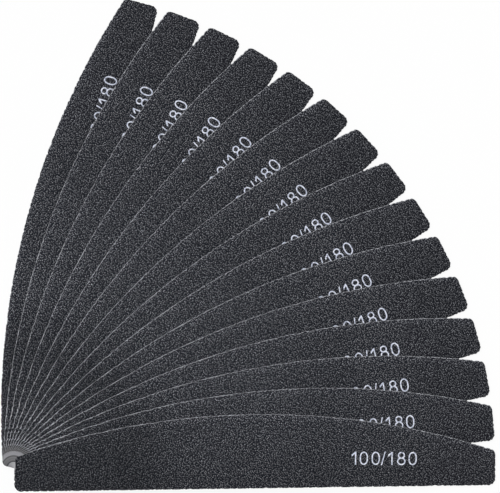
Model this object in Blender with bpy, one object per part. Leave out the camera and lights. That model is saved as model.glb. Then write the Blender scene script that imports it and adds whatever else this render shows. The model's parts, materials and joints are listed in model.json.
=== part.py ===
"""A fan of fifteen loose half-moon nail files.

Every file is a pale stiff core with an abrasive sheet glued to each face: coarse above, fine below.
The files are piled at one end and spread like a hand of cards. Each turns on the one beneath it.
The bottom file lies flat. Every other file leans over the straight edge below it, tip on the table.

Units are metres, with +Z up. The fan is centred on the origin, and its table is the plane Z = 0.
"""

import math

import bpy
from mathutils import Matrix, Vector

# The outline of one file
FILE_LENGTH = 0.178
FILE_WIDTH = 0.0274  # from the straight edge to the crown of the curved back
END_WIDTH = 0.0129  # from the straight edge to the foot of the curved back, before rounding
EDGE_CORNER_RADIUS = 0.0026
BACK_CORNER_RADIUS = 0.0020

# The layers of one file, from the underside up
FINE_SHEET_THICKNESS = 0.00025
CORE_THICKNESS = 0.00056
COARSE_SHEET_THICKNESS = 0.00035
GLUE_FILM = 0.00002  # left as a gap between a sheet and the core
SHEET_SETBACK = 0.00015  # the core's pale rim shows this wide round each sheet

# The fan
FILE_COUNT = 15
FAN_STEP = math.radians(5.332)
TOP_FILE_HEADING = math.radians(0.69)  # anticlockwise from +X
TURN_FROM_EDGE = 0.0082  # the turning point on a file's near end, from its straight edge
RESTING_GAP = 0.00005  # between a file and the edge that it leans on

# How finely the round stretches are cut, and how the lean of a file is searched for
BACK_SEGMENTS = 20
CORNER_SEGMENTS = 5
STEEPEST_LEAN = 1.0
LEAN_HALVINGS = 40

FILE_THICKNESS = FINE_SHEET_THICKNESS + CORE_THICKNESS + COARSE_SHEET_THICKNESS + 2 * GLUE_FILM

PALE_CORE = (0.52, 0.52, 0.54, 1)
COARSE_GRIT = (0.036, 0.038, 0.045, 1)
FINE_GRIT = (0.028, 0.030, 0.036, 1)


def clear_scene():
    for old in list(bpy.data.objects):
        bpy.data.objects.remove(old, do_unlink=True)


def make_material(name, colour, roughness):
    material = bpy.data.materials.new(name)
    material.use_nodes = True
    shader = material.node_tree.nodes["Principled BSDF"]
    shader.inputs["Base Color"].default_value = colour
    shader.inputs["Roughness"].default_value = roughness
    shader.inputs["Metallic"].default_value = 0
    return material


def arc_points(centre, radius, start, end, segments):
    """Points along an arc, both ends included, with angles in radians."""
    points = []
    for step in range(segments + 1):
        angle = start + (end - start) * step / segments
        points.append((centre[0] + radius * math.cos(angle), centre[1] + radius * math.sin(angle)))
    return points


def half_moon_outline(inset):
    """The file's outline drawn in by inset, anticlockwise, with the turning point at zero.

    The straight edge runs along X, and the curved back bulges towards +Y.
    """
    middle = FILE_LENGTH / 2
    rise = FILE_WIDTH - END_WIDTH
    back_radius = (middle**2 + rise**2) / (2 * rise)
    back_centre = (middle, FILE_WIDTH - TURN_FROM_EDGE - back_radius)

    edge_corner_y = EDGE_CORNER_RADIUS - TURN_FROM_EDGE
    reach = back_radius - BACK_CORNER_RADIUS
    back_corner_y = back_centre[1] + math.sqrt(reach**2 - (middle - BACK_CORNER_RADIUS) ** 2)
    foot_angle = math.asin((back_corner_y - back_centre[1]) / reach)

    near_edge_corner = (EDGE_CORNER_RADIUS, edge_corner_y)
    far_edge_corner = (FILE_LENGTH - EDGE_CORNER_RADIUS, edge_corner_y)
    far_back_corner = (FILE_LENGTH - BACK_CORNER_RADIUS, back_corner_y)
    near_back_corner = (BACK_CORNER_RADIUS, back_corner_y)
    edge_radius = EDGE_CORNER_RADIUS - inset
    corner_radius = BACK_CORNER_RADIUS - inset

    half_turn = math.pi
    quarter_turn = math.pi / 2
    back = arc_points(
        back_centre, back_radius - inset, foot_angle, half_turn - foot_angle, BACK_SEGMENTS
    )
    return (
        arc_points(near_edge_corner, edge_radius, half_turn, 3 * quarter_turn, CORNER_SEGMENTS)
        + arc_points(far_edge_corner, edge_radius, -quarter_turn, 0, CORNER_SEGMENTS)
        + arc_points(far_back_corner, corner_radius, 0, foot_angle, CORNER_SEGMENTS)
        + back[1:-1]
        + arc_points(
            near_back_corner, corner_radius, half_turn - foot_angle, half_turn, CORNER_SEGMENTS
        )
    )


def layer_curve(name, outline, thickness, material):
    """One flat layer: the outline filled on both sides and extruded about its own mid-plane."""
    curve = bpy.data.curves.new(name, "CURVE")
    curve.dimensions = "2D"
    curve.fill_mode = "BOTH"
    curve.extrude = thickness / 2
    spline = curve.splines.new("POLY")
    spline.points.add(len(outline) - 1)
    for point, (x, y) in zip(spline.points, outline):
        point.co = (x, y, 0, 1)
    spline.use_cyclic_u = True
    curve.materials.append(material)
    return curve


def file_frame(heading, height, slope):
    """The frame of a file whose underside is the plane height + slope . (x, y).

    Its origin is on the turning line, its X axis follows the straight edge, and its Z axis points
    out of the upper face.
    """
    up = Vector((-slope.x, -slope.y, 1)).normalized()
    level = Vector((math.cos(heading), math.sin(heading)))
    along = Vector((level.x, level.y, slope.dot(level))).normalized()
    across = up.cross(along)
    turned = Matrix((along, across, up)).transposed().to_4x4()
    return Matrix.Translation((0, 0, height)) @ turned


def settled_lean(heading, clear_height, slope, across_below, underside):
    """How far a file leans over the edge below, as a gradient, for its tip to reach the table."""
    level_lean = 0.0
    deep_lean = STEEPEST_LEAN
    for _ in range(LEAN_HALVINGS):
        lean = (level_lean + deep_lean) / 2
        frame = file_frame(heading, clear_height + lean * TURN_FROM_EDGE, slope + lean * across_below)
        lowest = min((frame @ Vector((x, y, 0))).z for x, y in underside)
        if lowest > 0:
            level_lean = lean
        else:
            deep_lean = lean
    return level_lean


def settled_frames(underside):
    """A frame for each file, from the bottom up, with the turning line on the Z axis.

    A file clears the face below by the resting gap at that face's straight edge, and tips over the
    edge until its underside meets the table.
    """
    heading = TOP_FILE_HEADING + FAN_STEP * (FILE_COUNT - 1)
    height = 0.0
    slope = Vector((0, 0))
    frames = [file_frame(heading, height, slope)]
    for _ in range(FILE_COUNT - 1):
        across_below = Vector((-math.sin(heading), math.cos(heading)))
        heading -= FAN_STEP
        clear_height = height + FILE_THICKNESS * math.sqrt(1 + slope.length_squared) + RESTING_GAP
        lean = settled_lean(heading, clear_height, slope, across_below, underside)
        height = clear_height + lean * TURN_FROM_EDGE
        slope = slope + lean * across_below
        frames.append(file_frame(heading, height, slope))
    return frames


def plan_centre(frames, outline):
    """The middle of the fan's box, seen from above."""
    corners = [frame @ Vector((x, y, 0)) for frame in frames for x, y in outline]
    middle_x = (min(c.x for c in corners) + max(c.x for c in corners)) / 2
    middle_y = (min(c.y for c in corners) + max(c.y for c in corners)) / 2
    return Vector((middle_x, middle_y, 0))


def turning_axis(frame, frame_below):
    """The direction about which a file turns to lie square on the one below, pointing up."""
    closing = frame_below.to_3x3() @ frame.to_3x3().transposed()
    return closing.to_quaternion().axis


def place_under(child, parent, world):
    """Hangs child on parent so that it stands at world, with its own location readable as world."""
    child.parent = parent
    if parent:
        child.matrix_parent_inverse = parent.matrix_world.inverted()
    child.matrix_basis = world
    bpy.context.view_layer.update()


def add_pivot(name, frame, axis, parent, collection):
    """An empty on the turning line whose Z axis is the file's hinge line."""
    pivot = bpy.data.objects.new(name, None)
    pivot.empty_display_size = TURN_FROM_EDGE
    collection.objects.link(pivot)
    turned = axis.to_track_quat("Z", "Y").to_matrix().to_4x4()
    place_under(pivot, parent, Matrix.Translation(frame.translation) @ turned)
    return pivot


def add_layer(name, curve, frame, base, thickness, pivot, collection):
    """One layer of a file, whose underside is at base above the file's own underside."""
    layer = bpy.data.objects.new(name, curve)
    collection.objects.link(layer)
    place_under(layer, pivot, frame @ Matrix.Translation((0, 0, base + thickness / 2)))


def build_fan():
    collection = bpy.data.collections.new("half_moon_nail_files")
    bpy.context.scene.collection.children.link(collection)

    core_outline = half_moon_outline(0)
    sheet_outline = half_moon_outline(SHEET_SETBACK)
    fine = layer_curve(
        "fine_sheet", sheet_outline, FINE_SHEET_THICKNESS, make_material("fine_grit", FINE_GRIT, 0.85)
    )
    core = layer_curve(
        "core", core_outline, CORE_THICKNESS, make_material("pale_core", PALE_CORE, 0.6)
    )
    coarse = layer_curve(
        "coarse_sheet",
        sheet_outline,
        COARSE_SHEET_THICKNESS,
        make_material("coarse_grit", COARSE_GRIT, 0.9),
    )

    core_base = FINE_SHEET_THICKNESS + GLUE_FILM
    coarse_base = core_base + CORE_THICKNESS + GLUE_FILM
    frames = settled_frames(sheet_outline)
    centred = Matrix.Translation(-plan_centre(frames, core_outline))
    frames = [centred @ frame for frame in frames]

    pivot = None
    frame_below = frames[0]
    for number, frame in enumerate(frames, start=1):
        name = f"file_{number:02d}"
        axis = turning_axis(frame, frame_below) if pivot else Vector((0, 0, 1))
        pivot = add_pivot(f"{name}_pivot", frame, axis, pivot, collection)
        add_layer(f"{name}_fine_sheet", fine, frame, 0, FINE_SHEET_THICKNESS, pivot, collection)
        add_layer(f"{name}_core", core, frame, core_base, CORE_THICKNESS, pivot, collection)
        add_layer(
            f"{name}_coarse_sheet", coarse, frame, coarse_base, COARSE_SHEET_THICKNESS, pivot, collection
        )
        frame_below = frame


clear_scene()
build_fan()
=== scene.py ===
# %% [markdown]
# # A fan of fifteen half-moon nail files
#
# A nail file of this kind is a sandwich: a stiff pale core with an abrasive sheet glued to each face.
# Fifteen of them lie in a pile at one end and are spread like a hand of cards.
#
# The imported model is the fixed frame. It gives every core and sheet its place and size, and every
# file its hinge. This script makes the finished pieces around it: ragged cut edges, grit, the
# printed grade, and the light and camera of the photograph.

import json
import math

import bmesh
import bpy
from mathutils import Matrix, Vector, noise


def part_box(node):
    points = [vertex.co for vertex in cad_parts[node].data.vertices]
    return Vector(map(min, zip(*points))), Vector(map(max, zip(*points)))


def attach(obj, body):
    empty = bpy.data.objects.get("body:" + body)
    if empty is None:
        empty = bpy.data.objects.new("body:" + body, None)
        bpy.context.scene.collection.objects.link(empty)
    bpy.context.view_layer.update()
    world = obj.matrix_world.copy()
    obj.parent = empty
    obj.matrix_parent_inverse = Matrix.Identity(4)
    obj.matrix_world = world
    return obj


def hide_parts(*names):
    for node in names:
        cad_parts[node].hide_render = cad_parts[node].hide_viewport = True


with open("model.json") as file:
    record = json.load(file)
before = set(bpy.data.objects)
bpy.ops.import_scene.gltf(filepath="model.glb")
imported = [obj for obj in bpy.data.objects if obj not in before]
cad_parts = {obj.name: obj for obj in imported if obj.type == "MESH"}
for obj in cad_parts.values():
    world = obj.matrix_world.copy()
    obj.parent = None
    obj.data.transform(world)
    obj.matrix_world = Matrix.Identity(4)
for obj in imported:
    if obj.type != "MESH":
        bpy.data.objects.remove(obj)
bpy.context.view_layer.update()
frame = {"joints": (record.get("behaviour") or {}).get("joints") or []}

# %% [markdown]
# ## Where each file lies
#
# A hinge is the line about which one file turns until it is square on the file below. The frame
# gives that line and the angle. So the lowest file's place is enough: turning it back through each
# hinge's angle, one after another, gives the place of all the others. Measuring each file by hand
# would also work, but the files would then no longer follow the hinges.
#
# A file's own axes are its straight edge (X), the way to its curved back (Y) and the way out of
# its coarse face (Z). Its origin is the point on its near end that it turns about.

# %% Follow the hinges up the pile
FILE_COUNT = 15
LOWEST_HEADING = math.radians(75.338)

file_names = [f"file_{number:02d}" for number in range(1, FILE_COUNT + 1)]
hinges = {hinge["child"]: hinge for hinge in frame["joints"]}
turning_point = Vector(hinges["file_02_body"]["pos_m"])
turning_point.z = 0

below = Matrix.Translation(turning_point) @ Matrix.Rotation(LOWEST_HEADING, 4, "Z")
places = {"file_01": below}
for name in file_names[1:]:
    hinge = hinges[f"{name}_body"]
    opening = Matrix.Rotation(-math.radians(hinge["range_deg"][1]), 3, Vector(hinge["axis"]))
    turned = opening @ below.to_3x3()
    below = Matrix.Translation(hinge["pos_m"]) @ turned.to_4x4()
    places[name] = below
for name in (file_names[0], file_names[-1]):
    level = math.degrees(math.acos(min(1, places[name].to_3x3().col[2].z)))
    print(f"{name}: {level:.2f} degrees off level")

# %% [markdown]
# ## The flat shape of a file
#
# The half moon is what is left of a large disc after straight cuts: one along the straight edge
# and one at each end. Each corner is then nipped round with a fan of short cuts. An outline typed
# in as points would do as well, but a disc keeps the back a true arc, and cuts are how the maker's
# die works.

# %% Sizes of one file
FILE_LENGTH = 0.178
FILE_WIDTH = 0.0274
END_WIDTH = 0.0129
TURN_FROM_EDGE = 0.0082
EDGE_CORNER_RADIUS = 0.0026
BACK_CORNER_RADIUS = 0.0020
CORNER_CUTS = 7
OUTLINE_STEP = 0.00030
LONGEST_STEP = 1.3 * OUTLINE_STEP
CUT_TOLERANCE = 1e-7
SAME_PLACE = 1e-6

middle = FILE_LENGTH / 2
rise = FILE_WIDTH - END_WIDTH
back_radius = (middle**2 + rise**2) / (2 * rise)
back_centre = Vector((middle, FILE_WIDTH - TURN_FROM_EDGE - back_radius, 0))
reach = back_radius - BACK_CORNER_RADIUS
back_corner_y = back_centre.y + math.sqrt(reach**2 - (middle - BACK_CORNER_RADIUS) ** 2)
foot_angle = math.asin((back_corner_y - back_centre.y) / reach)
print(f"radius of the curved back: {back_radius * 1000:.1f} mm")

# %% Corners, each a centre, a radius and the two directions that it turns between
edge_corner_y = EDGE_CORNER_RADIUS - TURN_FROM_EDGE
quarter_turn = math.pi / 2
corners = [
    ((EDGE_CORNER_RADIUS, edge_corner_y, 0), EDGE_CORNER_RADIUS, 2 * quarter_turn, 3 * quarter_turn),
    ((FILE_LENGTH - EDGE_CORNER_RADIUS, edge_corner_y, 0), EDGE_CORNER_RADIUS, -quarter_turn, 0),
    ((FILE_LENGTH - BACK_CORNER_RADIUS, back_corner_y, 0), BACK_CORNER_RADIUS, 0, foot_angle),
    ((BACK_CORNER_RADIUS, back_corner_y, 0), BACK_CORNER_RADIUS, math.pi - foot_angle, math.pi),
]


# %% Two helpers for work in edit mode
def edit_mode():
    bpy.ops.object.mode_set(mode="EDIT")
    bpy.ops.mesh.select_all(action="SELECT")


def object_mode():
    bpy.ops.object.mode_set(mode="OBJECT")


def cut_away(point, direction):
    """Cuts the piece in edit mode across a plane, and clears what lies beyond it."""
    bpy.ops.mesh.select_all(action="SELECT")
    bpy.ops.mesh.bisect(
        plane_co=point, plane_no=direction, clear_outer=True, use_fill=False, threshold=CUT_TOLERANCE
    )


# %% Cut the half moon from a disc
def cut_half_moon(name):
    """A flat half moon with the turning point at the origin, cut from a disc."""
    bpy.ops.object.select_all(action="DESELECT")
    steps_round = round(2 * math.pi * back_radius / OUTLINE_STEP)
    bpy.ops.mesh.primitive_circle_add(
        vertices=steps_round, radius=back_radius, fill_type="NGON", location=back_centre
    )
    shape = bpy.context.object
    shape.name = name
    bpy.ops.object.transform_apply(location=True)
    edit_mode()
    cut_away((0, -TURN_FROM_EDGE, 0), (0, -1, 0))
    cut_away((0, 0, 0), (-1, 0, 0))
    cut_away((FILE_LENGTH, 0, 0), (1, 0, 0))
    for centre, radius, start, end in corners:
        for cut in range(1, CORNER_CUTS + 1):
            angle = start + (end - start) * cut / (CORNER_CUTS + 1)
            outwards = Vector((math.cos(angle), math.sin(angle), 0))
            cut_away(Vector(centre) + radius * outwards, outwards)
    object_mode()
    return shape


# %% Even steps round the outline
def even_out_outline():
    """Halves the long edges of the flat shape until its outline has even steps, and refills it."""
    edit_mode()
    bpy.ops.mesh.delete(type="ONLY_FACE")
    while True:
        bpy.ops.mesh.select_all(action="DESELECT")
        bpy.ops.mesh.select_mode(type="EDGE")
        outline = bmesh.from_edit_mesh(bpy.context.object.data)
        long_edges = [edge for edge in outline.edges if edge.calc_length() > LONGEST_STEP]
        if not long_edges:
            break
        for edge in long_edges:
            edge.select_set(True)
        bmesh.update_edit_mesh(bpy.context.object.data)
        bpy.ops.mesh.subdivide(number_cuts=1)
    bpy.ops.mesh.select_all(action="SELECT")
    bpy.ops.mesh.edge_face_add()
    object_mode()


half_moon = cut_half_moon("half_moon")
even_out_outline()
print("steps round the outline:", len(half_moon.data.vertices))

# %% [markdown]
# ## The three layers
#
# Each layer is the half moon pushed up to its own thickness. A die presses through grit and core
# at once, so no edge comes out straight: grains break away, and the sheet ends a little inside the
# core. It does so more along the curved back and the near end, where the pale core shows as a
# beaded line, and hardly at all along the straight edge and the far end.
#
# Modelling every grain would take millions of faces, and a bump can't change a silhouette. So the
# cut edges are really ragged, and the flat faces get their grain from the material.

# %% Layer sizes, from the underside up
FINE_SHEET_THICKNESS = 0.00025
CORE_THICKNESS = 0.00056
COARSE_SHEET_THICKNESS = 0.00035
GLUE_FILM = 0.00002
core_base = FINE_SHEET_THICKNESS + GLUE_FILM
coarse_base = core_base + CORE_THICKNESS + GLUE_FILM
file_top = coarse_base + COARSE_SHEET_THICKNESS
print(f"one file is {file_top * 1000:.2f} mm thick")


# %% Pull the cut edge in
def smooth_step(low, high, value):
    """Rises smoothly from 0 at low to 1 at high."""
    share = min(1, max(0, (value - low) / (high - low)))
    return share * share * (3 - 2 * share)


# %% Where the edge is drawn in, in millimetres of the file's own plan
PILED_RADIUS = (7.4, 9.0)
PILED_SIDE = (-1.2, 0.4)
FACING_BACK = (0.2, 0.7)
MIDDLE_STARTS = (15, 45)
MIDDLE_SAVED = 0.35
TIP_STARTS = (120, 160)
TIP_ADDED = 0.25
DIE_WAVE = 0.36
DIE_RIPPLE = 0.20
RIPPLES_PER_WAVE = 2.1
CHIPS_PER_WAVE = 1.5
PILED_CALM = 0.85
MILLIMETRE = 0.001


def roughen_edge(layer, least, at_back, at_near_end, chip, seed):
    """Draws a layer's cut edge in by tenths of a millimetre.

    The wave of the die is the same for every layer. The set-back along the back, which is least
    along the middle of a file, and the chips where grains broke away are each layer's own.
    """
    for vertex in layer.data.vertices:
        outwards = Vector((vertex.normal.x, vertex.normal.y, 0)).normalized()
        spot = vertex.co * 1000
        plan = Vector((spot.x, spot.y, 0))
        from_turn = plan.length
        piled = (1 - smooth_step(*PILED_RADIUS, from_turn)) * smooth_step(*PILED_SIDE, spot.y)
        back = max(smooth_step(*FACING_BACK, outwards.y), piled)
        past_start = smooth_step(*MIDDLE_STARTS, from_turn)
        past_middle = smooth_step(*TIP_STARTS, from_turn)
        handled = 1 - MIDDLE_SAVED * past_start + TIP_ADDED * past_middle
        wave = DIE_WAVE * noise.noise(plan) + DIE_RIPPLE * noise.noise(plan * RIPPLES_PER_WAVE)
        chips = chip * noise.noise(plan * CHIPS_PER_WAVE + Vector((0, 0, seed)))
        calm = 1 - PILED_CALM * piled
        set_back = least + at_back * back * handled + at_near_end * piled + (wave + chips) * calm
        vertex.co -= outwards * max(0, set_back) * MILLIMETRE


def raise_layer(name, base, thickness):
    """A copy of the half moon, pushed up to a layer's thickness."""
    bpy.ops.object.select_all(action="DESELECT")
    layer = bpy.data.objects.new(name, half_moon.data.copy())
    bpy.context.scene.collection.objects.link(layer)
    bpy.context.view_layer.objects.active = layer
    layer.select_set(True)
    edit_mode()
    bpy.ops.transform.translate(value=(0, 0, base))
    bpy.ops.mesh.extrude_region_move(TRANSFORM_OT_translate={"value": (0, 0, thickness)})
    bpy.ops.mesh.select_all(action="SELECT")
    bpy.ops.mesh.normals_make_consistent(inside=False)
    object_mode()
    return layer


def soften_rim(layer, height, width):
    """Bevels the rim of the face at a height, in two steps."""
    edit_mode()
    bpy.ops.mesh.select_all(action="DESELECT")
    bpy.ops.mesh.select_mode(type="FACE")
    mesh = bmesh.from_edit_mesh(layer.data)
    for face in mesh.faces:
        if all(abs(vertex.co.z - height) < SAME_PLACE for vertex in face.verts):
            face.select_set(True)
    bmesh.update_edit_mesh(layer.data)
    bpy.ops.mesh.region_to_loop()
    bpy.ops.mesh.bevel(offset=width, segments=2, affect="EDGES")
    object_mode()


def finish_layer(layer):
    """Gives a layer a plan of the file as its UV map, and smooth shading round its rims."""
    plan = layer.data.uv_layers.new(name="file_plan")
    for loop in layer.data.loops:
        spot = layer.data.vertices[loop.vertex_index].co
        plan.data[loop.index].uv = (spot.x / FILE_LENGTH, spot.y / FILE_LENGTH + 0.5)
    bpy.ops.object.select_all(action="DESELECT")
    bpy.context.view_layer.objects.active = layer
    layer.select_set(True)
    bpy.ops.object.shade_smooth_by_angle(angle=math.radians(35))
    sides = [round(side * 1000, 2) for side in layer.dimensions]
    print(layer.name, sides, "mm,", len(layer.data.polygons), "faces")


# %% The core
core = raise_layer("core", core_base, CORE_THICKNESS)
roughen_edge(core, least=0.04, at_back=0.0, at_near_end=0.0, chip=0.04, seed=3)
soften_rim(core, height=core_base + CORE_THICKNESS, width=0.00005)
finish_layer(core)

# %% The coarse sheet
coarse_sheet = raise_layer("coarse_sheet", coarse_base, COARSE_SHEET_THICKNESS)
roughen_edge(coarse_sheet, least=0.05, at_back=0.19, at_near_end=0.17, chip=0.24, seed=11)
soften_rim(coarse_sheet, height=file_top, width=0.00007)
finish_layer(coarse_sheet)

# %% The fine sheet
fine_sheet = raise_layer("fine_sheet", 0, FINE_SHEET_THICKNESS)
roughen_edge(fine_sheet, least=0.07, at_back=0.05, at_near_end=0.05, chip=0.15, seed=23)
soften_rim(fine_sheet, height=0, width=0.00004)
finish_layer(fine_sheet)

# %% [markdown]
# ## The printed grade
#
# The two grit numbers are screen printed near the far end of the coarse face, in thin narrow
# figures with no foot to the 1. Blender's own letters have feet and are too wide, so the figures
# are made by hand: a nought is an oval inset to its stroke, the 8 is two ovals joined, and the 1
# and the slash are strips.

# %% Sizes of the figures
INK_THICKNESS = 0.00003
INK_SUNK = 0.000005
STROKE = 0.00048
FIGURE_HEIGHT = 0.00492
NOUGHT_WIDTH = 0.00305
NOUGHT_STRAIGHT = 0.0009
MARK_MIDDLE = Vector((0.13685, 0.00229, 0))
MARK_TURN = math.radians(-1.2)


# %% An oval figure
def raise_ink():
    """Pushes the flat figure in edit mode up to the thickness of the ink."""
    bpy.ops.mesh.select_all(action="SELECT")
    bpy.ops.mesh.extrude_region_move(TRANSFORM_OT_translate={"value": (0, 0, INK_THICKNESS)})
    bpy.ops.mesh.select_all(action="SELECT")
    bpy.ops.mesh.normals_make_consistent(inside=False)


def select_vertices(test):
    """Selects the vertices of the piece in edit mode that pass a test."""
    bpy.ops.mesh.select_all(action="DESELECT")
    bpy.ops.mesh.select_mode(type="VERT")
    mesh = bmesh.from_edit_mesh(bpy.context.object.data)
    for vertex in mesh.verts:
        vertex.select_set(test(vertex.co))
    mesh.select_flush_mode()
    bmesh.update_edit_mesh(bpy.context.object.data)


def add_oval(x, y, width, height, straight):
    """An oval ring of ink, as wide as a stroke, whose two halves are pulled apart a little."""
    bpy.ops.object.select_all(action="DESELECT")
    bpy.ops.mesh.primitive_circle_add(vertices=64, radius=0.5, fill_type="NGON", location=(x, y, 0))
    oval = bpy.context.object
    oval.scale = (width, height - straight, 1)
    bpy.ops.object.transform_apply(location=True, scale=True)
    edit_mode()
    select_vertices(lambda spot: spot.y > y + SAME_PLACE)
    bpy.ops.transform.translate(value=(0, straight / 2, 0))
    select_vertices(lambda spot: spot.y < y - SAME_PLACE)
    bpy.ops.transform.translate(value=(0, -straight / 2, 0))
    bpy.ops.mesh.select_all(action="SELECT")
    bpy.ops.mesh.inset(thickness=STROKE)
    bpy.ops.mesh.select_mode(type="FACE")
    bpy.ops.mesh.delete(type="FACE")
    raise_ink()
    object_mode()
    return oval


# %% The figure 8
LOOP_STRAIGHT = 0.0002
LOWER_LOOP = {"y": -0.00103, "width": 0.0031, "height": 0.00286, "straight": LOOP_STRAIGHT}
UPPER_LOOP = {"y": 0.00120, "width": 0.0026, "height": 0.00252, "straight": LOOP_STRAIGHT}


def add_eight(x):
    """Two ovals joined at the waist, the upper one smaller."""
    lower = add_oval(x, **LOWER_LOOP)
    upper = add_oval(x, **UPPER_LOOP)
    bpy.ops.object.select_all(action="DESELECT")
    bpy.context.view_layer.objects.active = lower
    lower.select_set(True)
    join = lower.modifiers.new("join", "BOOLEAN")
    join.operation = "UNION"
    join.solver = "EXACT"
    join.object = upper
    bpy.ops.object.modifier_apply(modifier="join")
    bpy.data.objects.remove(upper, do_unlink=True)
    return lower


# %% The figure 1 and the slash
def add_strip(x, width, height):
    bpy.ops.object.select_all(action="DESELECT")
    bpy.ops.mesh.primitive_plane_add(size=1, location=(x, 0, 0))
    strip = bpy.context.object
    strip.scale = (width, height, 1)
    bpy.ops.object.transform_apply(location=True, scale=True)
    return strip


def select_edges(test):
    """Selects the edges of the piece in edit mode whose two ends both pass a test."""
    bpy.ops.mesh.select_all(action="DESELECT")
    bpy.ops.mesh.select_mode(type="EDGE")
    mesh = bmesh.from_edit_mesh(bpy.context.object.data)
    for edge in mesh.edges:
        if all(test(vertex.co) for vertex in edge.verts):
            edge.select_set(True)
    bmesh.update_edit_mesh(bpy.context.object.data)


STEM_HEIGHT = FIGURE_HEIGHT - 0.0001
FLAG_HEIGHT = 0.0008
FLAG_REACH = (-0.0012, -0.00105, 0)
SLASH_HEIGHT = FIGURE_HEIGHT + 0.0001
SLASH_WIDTH = 0.00042
SLASH_LEAN = 0.00066


def add_one(x):
    """A stem with a flag that drops away from its top."""
    stem = add_strip(x, STROKE, STEM_HEIGHT)
    left = x - STROKE / 2
    flag_foot = FIGURE_HEIGHT / 2 - FLAG_HEIGHT
    edit_mode()
    bpy.ops.mesh.bisect(plane_co=(0, flag_foot, 0), plane_no=(0, 1, 0), threshold=CUT_TOLERANCE)
    select_edges(lambda spot: abs(spot.x - left) < SAME_PLACE and spot.y > flag_foot - SAME_PLACE)
    bpy.ops.mesh.extrude_region_move(TRANSFORM_OT_translate={"value": FLAG_REACH})
    raise_ink()
    object_mode()
    return stem


def add_slash(x):
    """A strip whose top is pushed to the right and whose foot is pushed to the left."""
    slash = add_strip(x, SLASH_WIDTH, SLASH_HEIGHT)
    edit_mode()
    select_edges(lambda spot: spot.y > 0)
    bpy.ops.transform.translate(value=(SLASH_LEAN, 0, 0))
    select_edges(lambda spot: spot.y < 0)
    bpy.ops.transform.translate(value=(-SLASH_LEAN, 0, 0))
    raise_ink()
    object_mode()
    return slash


# %% Set the figures in a row
def add_nought(x):
    """The nought of both grit numbers, an oval of the figures' height."""
    return add_oval(x, 0, NOUGHT_WIDTH, FIGURE_HEIGHT, NOUGHT_STRAIGHT)


figures = [
    add_one(-0.01070),
    add_nought(-0.00765),
    add_nought(-0.00325),
    add_slash(-0.00042),
    add_one(0.00280),
    add_eight(0.00626),
    add_nought(0.01045),
]
bpy.ops.object.select_all(action="DESELECT")
for figure in figures:
    figure.select_set(True)
bpy.context.view_layer.objects.active = figures[0]
bpy.ops.object.join()
grade_mark = bpy.context.object
grade_mark.name = "grade_mark"
on_the_sheet = Matrix.Translation(MARK_MIDDLE + Vector((0, 0, file_top - INK_SUNK)))
grade_mark.data.transform(on_the_sheet @ Matrix.Rotation(MARK_TURN, 4, "Z"))
finish_layer(grade_mark)

# %% [markdown]
# ## The materials
#
# Each finish is a small tree of nodes on Object coordinates, so the pattern never repeats.
#
# Grit is grains set in a dark bond, and only the tips of the grains catch the light; that light is
# painted into the colour. It is made of Voronoi cells: every cell is one grain with its own shade,
# painted bright at its middle as a highlight on its tip, and painted dark between, as the shade
# between the grains.
# A noise texture alone is too soft, because grains have borders, and it makes clouds. The cells are
# flat ones, which stay about a grain apart: a cut through solid cells has large ones and small ones,
# and looks blotchy from a distance.


# %% Helpers for node trees
class Finish:
    """A material whose nodes are added one by one."""

    def __init__(self, name):
        self.material = bpy.data.materials.new(name)
        self.material.use_nodes = True
        self.tree = self.material.node_tree
        self.shader = self.tree.nodes["Principled BSDF"]

    def node(self, kind, inputs=None, **settings):
        made = self.tree.nodes.new(kind)
        for key, value in settings.items():
            setattr(made, key, value)
        for key, value in (inputs or {}).items():
            if isinstance(value, bpy.types.NodeSocket):
                self.tree.links.new(value, made.inputs[key])
            else:
                made.inputs[key].default_value = value
        return made

    def ramp(self, factor, stops):
        """A colour ramp through (position, colour) stops."""
        made = self.node("ShaderNodeValToRGB", {"Fac": factor})
        elements = made.color_ramp.elements
        elements[0].position, elements[0].color = stops[0][0], (*stops[0][1], 1)
        elements[1].position, elements[1].color = stops[-1][0], (*stops[-1][1], 1)
        for position, colour in stops[1:-1]:
            elements.new(position).color = (*colour, 1)
        return made.outputs["Color"]

    def multiply(self, colour, factor):
        made = self.node("ShaderNodeMix", data_type="RGBA", blend_type="MULTIPLY")
        made.inputs[0].default_value = 1
        self.tree.links.new(colour, made.inputs[6])
        self.tree.links.new(factor, made.inputs[7])
        return made.outputs[2]

    def mix(self, first, second, share):
        """Blends from the first colour to the second."""
        inputs = {0: share, 6: first, 7: second}
        return self.node("ShaderNodeMix", inputs, data_type="RGBA").outputs[2]

    def flat_cells(self, spot, size):
        """Voronoi cells of a size in metres, seen from above the table."""
        inputs = {"Vector": spot, "Scale": 1 / size}
        return self.node("ShaderNodeTexVoronoi", inputs, voronoi_dimensions="2D")

    def one_channel(self, colour):
        """One channel of a random colour, so that every level is as likely as the next."""
        return self.node("ShaderNodeSeparateColor", {"Color": colour}).outputs["Red"]

    def span(self, value, low, high, from_low=0.0, from_high=1.0):
        """Value, stretched from one range to another."""
        inputs = {
            "Value": value,
            "From Min": from_low,
            "From Max": from_high,
            "To Min": low,
            "To Max": high,
        }
        return self.node("ShaderNodeMapRange", inputs).outputs["Result"]

    def set(self, socket, value):
        if isinstance(value, bpy.types.NodeSocket):
            self.tree.links.new(value, self.shader.inputs[socket])
        else:
            self.shader.inputs[socket].default_value = value


# %% How much the grit is darkened, along the file and from its straight edge to its back
COAT_ALONG = [(0.253, 0.69), (0.348, 1.0), (0.551, 1.0), (0.618, 0.92), (0.80, 0.92), (0.92, 0.83)]
COAT_ACROSS = [
    (0.0, 0.68),
    (0.33, 0.70),
    (0.60, 0.745),
    (0.86, 0.785),
    (0.92, 0.83),
    (0.95, 0.98),
    (1.0, 1.0),
]
WEAR_SCALE = 55.0


def grey(level):
    """A neutral colour."""
    return (level, level, level)


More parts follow.
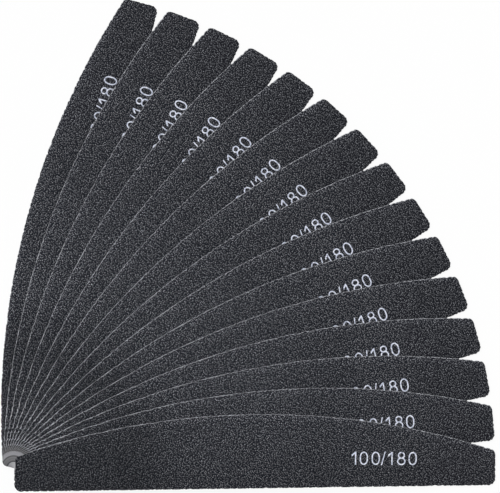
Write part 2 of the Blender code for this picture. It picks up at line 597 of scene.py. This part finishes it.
def coat_levels(finish, spot):
    """Three levels that the grit is multiplied by: its wear, and its place along and across the file.

    The grit is made darker over the first third of the file, at its tip and towards its straight
    edge.
    """
    plan = finish.node("ShaderNodeUVMap", uv_map="file_plan").outputs["UV"]
    along = finish.node("ShaderNodeSeparateXYZ", {"Vector": plan}).outputs["X"]
    centre = {0: plan, 1: (back_centre.x / FILE_LENGTH, back_centre.y / FILE_LENGTH + 0.5, 0)}
    from_centre = finish.node("ShaderNodeVectorMath", centre, operation="DISTANCE").outputs["Value"]
    front = (back_radius - FILE_WIDTH) / FILE_LENGTH
    across = finish.span(from_centre, 0, 1, front, back_radius / FILE_LENGTH)
    worn = finish.node("ShaderNodeTexNoise", {"Vector": spot, "Scale": WEAR_SCALE, "Detail": 3.0})
    return (
        finish.span(worn.outputs["Fac"], 0.96, 1.04, 0.3, 0.7),
        finish.ramp(along, [(place, grey(level)) for place, level in COAT_ALONG]),
        finish.ramp(across, [(place, grey(level)) for place, level in COAT_ACROSS]),
    )


# %% Grit
BOND_COLOUR = (0.0155, 0.0167, 0.0229, 1)
GRAIN_TINT = (0.975, 1.0, 1.08)
GRAIN_SPREAD = 1.2
GRAIN_REACH = 0.38
FACET_LEVELS = (0.4, 1.6)
GRID_TURN = (0, 0, 0.6)


def make_grit(name, grain, facet, shade):
    """Abrasive paper: grains, each with its own shade and broken facets, in a dark bond.

    The hidden grid that the cells are strewn on is turned, so that no rows of it show.
    """
    finish = Finish(name)
    spot = finish.node("ShaderNodeTexCoord").outputs["Object"]
    turned = finish.node("ShaderNodeMapping", {"Vector": spot, "Rotation": GRID_TURN})
    grains = finish.flat_cells(turned.outputs["Vector"], grain)
    facets = finish.flat_cells(turned.outputs["Vector"], facet)
    shades = []
    for share in (0.0, 0.25, 0.5, 0.75, 1.0):
        level = shade * math.exp(GRAIN_SPREAD * (share - 0.5))
        shades.append((share, [level * part for part in GRAIN_TINT]))
    grain_shade = finish.ramp(finish.one_channel(grains.outputs["Color"]), shades)
    facet_level = finish.span(finish.one_channel(facets.outputs["Color"]), *FACET_LEVELS)
    # Painted highlight and painted shade: each grain is painted bright at its middle, where its tip
    # catches the light, and dark towards the bond between grains. The same share is the grain's
    # height for the bump.
    grain_height_and_highlight = finish.span(grains.outputs["Distance"], 1, 0, 0, GRAIN_REACH)
    paper = finish.mix(BOND_COLOUR, finish.multiply(grain_shade, facet_level), grain_height_and_highlight)
    for level in coat_levels(finish, spot):
        paper = finish.multiply(paper, level)
    finish.set("Base Color", paper)
    facet_height = finish.span(facets.outputs["Distance"], 1, 0, 0, 0.9)
    low = finish.node("ShaderNodeBump", {"Height": grain_height_and_highlight, "Strength": 0.4, "Distance": grain / 8})
    both = {
        "Height": facet_height,
        "Strength": 0.5,
        "Distance": facet / 2,
        "Normal": low.outputs["Normal"],
    }
    finish.set("Normal", finish.node("ShaderNodeBump", both).outputs["Normal"])
    finish.set("Roughness", finish.span(facets.outputs["Distance"], 0.5, 0.95, 0, 0.8))
    finish.set("Specular IOR Level", 0.06)
    return finish.material


coarse_grit = make_grit("coarse_grit", grain=0.00057, facet=0.00022, shade=0.325)
fine_grit = make_grit("fine_grit", grain=0.00034, facet=0.00014, shade=0.28)
print("grit:", len(coarse_grit.node_tree.nodes), "nodes each")


# %% Rings of painted shade round the turning point, where the ends of the piled files meet, in shares of their reach
RING_REACH = 0.01
SHADE_RINGS = [
    (0.0, grey(0.62)),
    (0.272, grey(0.62)),
    (0.283, (0.08, 0.08, 0.09)),
    (0.318, (0.09, 0.09, 0.10)),
    (0.332, grey(0.23)),
    (0.39, grey(0.25)),
    (0.405, grey(0.18)),
    (0.42, grey(0.25)),
    (0.47, grey(0.23)),
    (0.486, grey(0.10)),
    (0.510, grey(0.10)),
    (0.527, (0.44, 0.44, 0.45)),
    (0.66, (0.48, 0.48, 0.49)),
    (0.678, grey(0.16)),
    (0.70, grey(0.16)),
    (0.72, grey(0.24)),
    (0.82, grey(0.28)),
    (0.90, grey(0.85)),
    (1.0, grey(1.0)),
]
RUBBED_CLEAN = (0.0078, 0.0092)

# %% The pale core
BOARD_COLOUR = (0.62, 0.62, 0.65, 1)
DUST = [(0.35, (0.155, 0.155, 0.173)), (0.5, (0.366, 0.375, 0.404)), (0.62, (0.54, 0.55, 0.595))]
DUST_SCALE = 900.0
FIBRE_SCALE = 6000.0
FIBRE_HEIGHT = 0.00005


def make_core_board():
    """Pale board with grey dust on it, rubbed clean round the turning point, with rings of painted
    shade there for the shade between the piled ends of the files.
    """
    finish = Finish("pale_core")
    spot = finish.node("ShaderNodeTexCoord").outputs["Object"]
    plan = finish.node("ShaderNodeUVMap", uv_map="file_plan").outputs["UV"]
    to_turn = finish.node("ShaderNodeVectorMath", {0: plan, 1: (0, 0.5, 0)}, operation="DISTANCE")
    share_of_reach = finish.span(to_turn.outputs["Value"], 0, 1, 0, RING_REACH / FILE_LENGTH)
    # Painted shade: the board is darkened in rings round the turning point, darkest in thin lines,
    # where the ends of the piled files meet.
    ring_shade = finish.ramp(share_of_reach, SHADE_RINGS)
    dust = finish.node("ShaderNodeTexNoise", {"Vector": spot, "Scale": DUST_SCALE, "Detail": 2.0})
    dusty = finish.ramp(dust.outputs["Fac"], DUST)
    clean, dusted = (radius / FILE_LENGTH for radius in RUBBED_CLEAN)
    rubbed = finish.span(to_turn.outputs["Value"], 1, 0, clean, dusted)
    board = finish.mix(dusty, BOARD_COLOUR, rubbed)
    finish.set("Base Color", finish.multiply(board, ring_shade))
    fibres = finish.node("ShaderNodeTexNoise", {"Vector": spot, "Scale": FIBRE_SCALE, "Detail": 3.0})
    bump = {"Height": fibres.outputs["Fac"], "Strength": 0.3, "Distance": FIBRE_HEIGHT}
    finish.set("Normal", finish.node("ShaderNodeBump", bump).outputs["Normal"])
    finish.set("Roughness", finish.span(dust.outputs["Fac"], 0.5, 0.75, 0.3, 0.7))
    finish.set("Specular IOR Level", 0.3)
    return finish.material


core_board = make_core_board()


# %% The ink
INK_GRAIN = 0.00045
INK_BUMP = 0.0001
INK_SHADES = [
    (0.0, (0.22, 0.24, 0.32)),
    (0.2, (0.46, 0.50, 0.61)),
    (0.6, (0.66, 0.69, 0.82)),
    (1.0, (0.84, 0.86, 0.94)),
]


def make_ink():
    """Thin pale ink, through which the highest grains show."""
    finish = Finish("grade_ink")
    spot = finish.node("ShaderNodeTexCoord").outputs["Object"]
    grains = finish.node("ShaderNodeTexVoronoi", {"Vector": spot, "Scale": 1 / INK_GRAIN})
    finish.set("Base Color", finish.ramp(finish.one_channel(grains.outputs["Color"]), INK_SHADES))
    height = finish.span(grains.outputs["Distance"], 1, 0, 0, 0.9)
    bump = {"Height": height, "Strength": 0.3, "Distance": INK_BUMP}
    finish.set("Normal", finish.node("ShaderNodeBump", bump).outputs["Normal"])
    finish.set("Roughness", finish.span(grains.outputs["Distance"], 0.45, 0.7, 0, 0.8))
    finish.set("Specular IOR Level", 0.3)
    return finish.material


grade_ink = make_ink()

# %% [markdown]
# ## Fifteen files from four pieces
#
# The four pieces are copied to every file's place. Each copy has its own mesh, moved to where the
# file lies, while its object stays at the origin. So the grit reads a different stretch of the
# pattern on each file, and the copies still move with their hinges.


# %% Copy the pieces to their files
def place_copy(master, file_name, material):
    copy = bpy.data.objects.new(f"{file_name}_{master.name}_piece", master.data.copy())
    copy.data.transform(places[file_name])
    copy.data.materials.clear()
    copy.data.materials.append(material)
    bpy.context.scene.collection.objects.link(copy)
    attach(copy, f"{file_name}_body")
    return copy


def corner_gap(piece, node):
    """How far a piece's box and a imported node's box are apart, at the worst side."""
    low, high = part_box(node)
    spots = [vertex.co for vertex in piece.data.vertices]
    gaps = []
    for axis in range(3):
        gaps.append(abs(min(spot[axis] for spot in spots) - low[axis]))
        gaps.append(abs(max(spot[axis] for spot in spots) - high[axis]))
    return max(gaps)


worst = 0
for file_name in file_names:
    for master, material, slot in (
        (fine_sheet, fine_grit, "fine_grit"),
        (core, core_board, "pale_core"),
        (coarse_sheet, coarse_grit, "coarse_grit"),
    ):
        node = f"{file_name}_{master.name}"
        piece = place_copy(master, file_name, material)
        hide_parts(node)
        worst = max(worst, corner_gap(piece, node))
    place_copy(grade_mark, file_name, grade_ink)
print(f"largest difference from a packed node's box: {worst * 1000:.2f} mm")

for master in (half_moon, core, coarse_sheet, fine_sheet, grade_mark):
    bpy.data.objects.remove(master, do_unlink=True)

# %% [markdown]
# ## Floor, light and camera
#
# The photograph is taken from straight above, under even light, on pure white. A broad soft sun and
# a pale sky give that light. The floor is a plain pale surface that the camera sees as nearly white,
# and it keeps a faint shadow of the files.


# %% Where the floor and the sky are seen as white
def camera_share(tree, strength):
    """A factor that is strength where the camera, a gloss or a glass looks, and 0 elsewhere."""
    path = tree.nodes.new("ShaderNodeLightPath")
    total = None
    for ray in ("Is Camera Ray", "Is Glossy Ray", "Is Transmission Ray"):
        if total is None:
            total = path.outputs[ray]
            continue
        either = tree.nodes.new("ShaderNodeMath")
        either.operation = "MAXIMUM"
        tree.links.new(total, either.inputs[0])
        tree.links.new(path.outputs[ray], either.inputs[1])
        total = either.outputs[0]
    scaled = tree.nodes.new("ShaderNodeMath")
    scaled.operation = "MULTIPLY"
    scaled.inputs[1].default_value = strength
    tree.links.new(total, scaled.inputs[0])
    return scaled.outputs[0]


# %% A sheet of white just under the files
FLOOR_SIZE = 8
FLOOR_BELOW = 0.00005
FLOOR_COLOUR = (0.93, 0.93, 0.93, 1)
FLOOR_GLOW = 0.92

bpy.ops.object.select_all(action="DESELECT")
bpy.ops.mesh.primitive_plane_add(size=FLOOR_SIZE, location=(0, 0, -FLOOR_BELOW))
floor = bpy.context.object
floor.name = "floor"
floor_material = bpy.data.materials.new("floor_white")
floor_material.use_nodes = True
tree = floor_material.node_tree
shader = tree.nodes["Principled BSDF"]
shader.inputs["Base Color"].default_value = FLOOR_COLOUR
shader.inputs["Roughness"].default_value = 0.9
shader.inputs["Specular IOR Level"].default_value = 0.1
glow = tree.nodes.new("ShaderNodeEmission")
glow.inputs["Color"].default_value = (1, 1, 1, 1)
mix = tree.nodes.new("ShaderNodeMixShader")
tree.links.new(camera_share(tree, FLOOR_GLOW), mix.inputs[0])
tree.links.new(shader.outputs[0], mix.inputs[1])
tree.links.new(glow.outputs[0], mix.inputs[2])
tree.links.new(mix.outputs[0], tree.nodes["Material Output"].inputs[0])
floor.data.materials.append(floor_material)

# %% Sky and sun
SKY_LIGHT = 0.5
SKY_SEEN = 1.0
SUN_STRENGTH = 1.7
SUN_SPREAD = math.radians(35)
SUN_DIRECTION = Vector((-0.35, 0.30, 1))

world = bpy.data.worlds.new("pale_sky")
world.use_nodes = True
bpy.context.scene.world = world
tree = world.node_tree
sky = tree.nodes["Background"]
sky.inputs["Color"].default_value = (1, 1, 1, 1)
level = tree.nodes.new("ShaderNodeMapRange")
tree.links.new(camera_share(tree, 1.0), level.inputs["Value"])
level.inputs["To Min"].default_value = SKY_LIGHT
level.inputs["To Max"].default_value = SKY_SEEN
tree.links.new(level.outputs[0], sky.inputs["Strength"])

sun_data = bpy.data.lights.new("soft_sun", "SUN")
sun_data.energy = SUN_STRENGTH
sun_data.angle = SUN_SPREAD
sun = bpy.data.objects.new("soft_sun", sun_data)
sun.rotation_euler = SUN_DIRECTION.to_track_quat("Z", "Y").to_euler()
bpy.context.scene.collection.objects.link(sun)

# %% Camera
VIEW_WIDTH = 0.1844
VIEW_MIDDLE = (0.00075, -0.00058)
LENS = 1000
SENSOR = 36
camera_data = bpy.data.cameras.new("camera")
camera_data.lens = LENS
camera_data.sensor_width = SENSOR
camera_data.clip_start = 0.1
camera_data.clip_end = 50
camera = bpy.data.objects.new("camera", camera_data)
camera.location = (*VIEW_MIDDLE, VIEW_WIDTH * LENS / SENSOR)
bpy.context.scene.collection.objects.link(camera)
bpy.context.scene.camera = camera
bpy.context.scene.view_settings.view_transform = "Standard"
print(f"the camera stands {camera.location.z:.2f} m above the table")
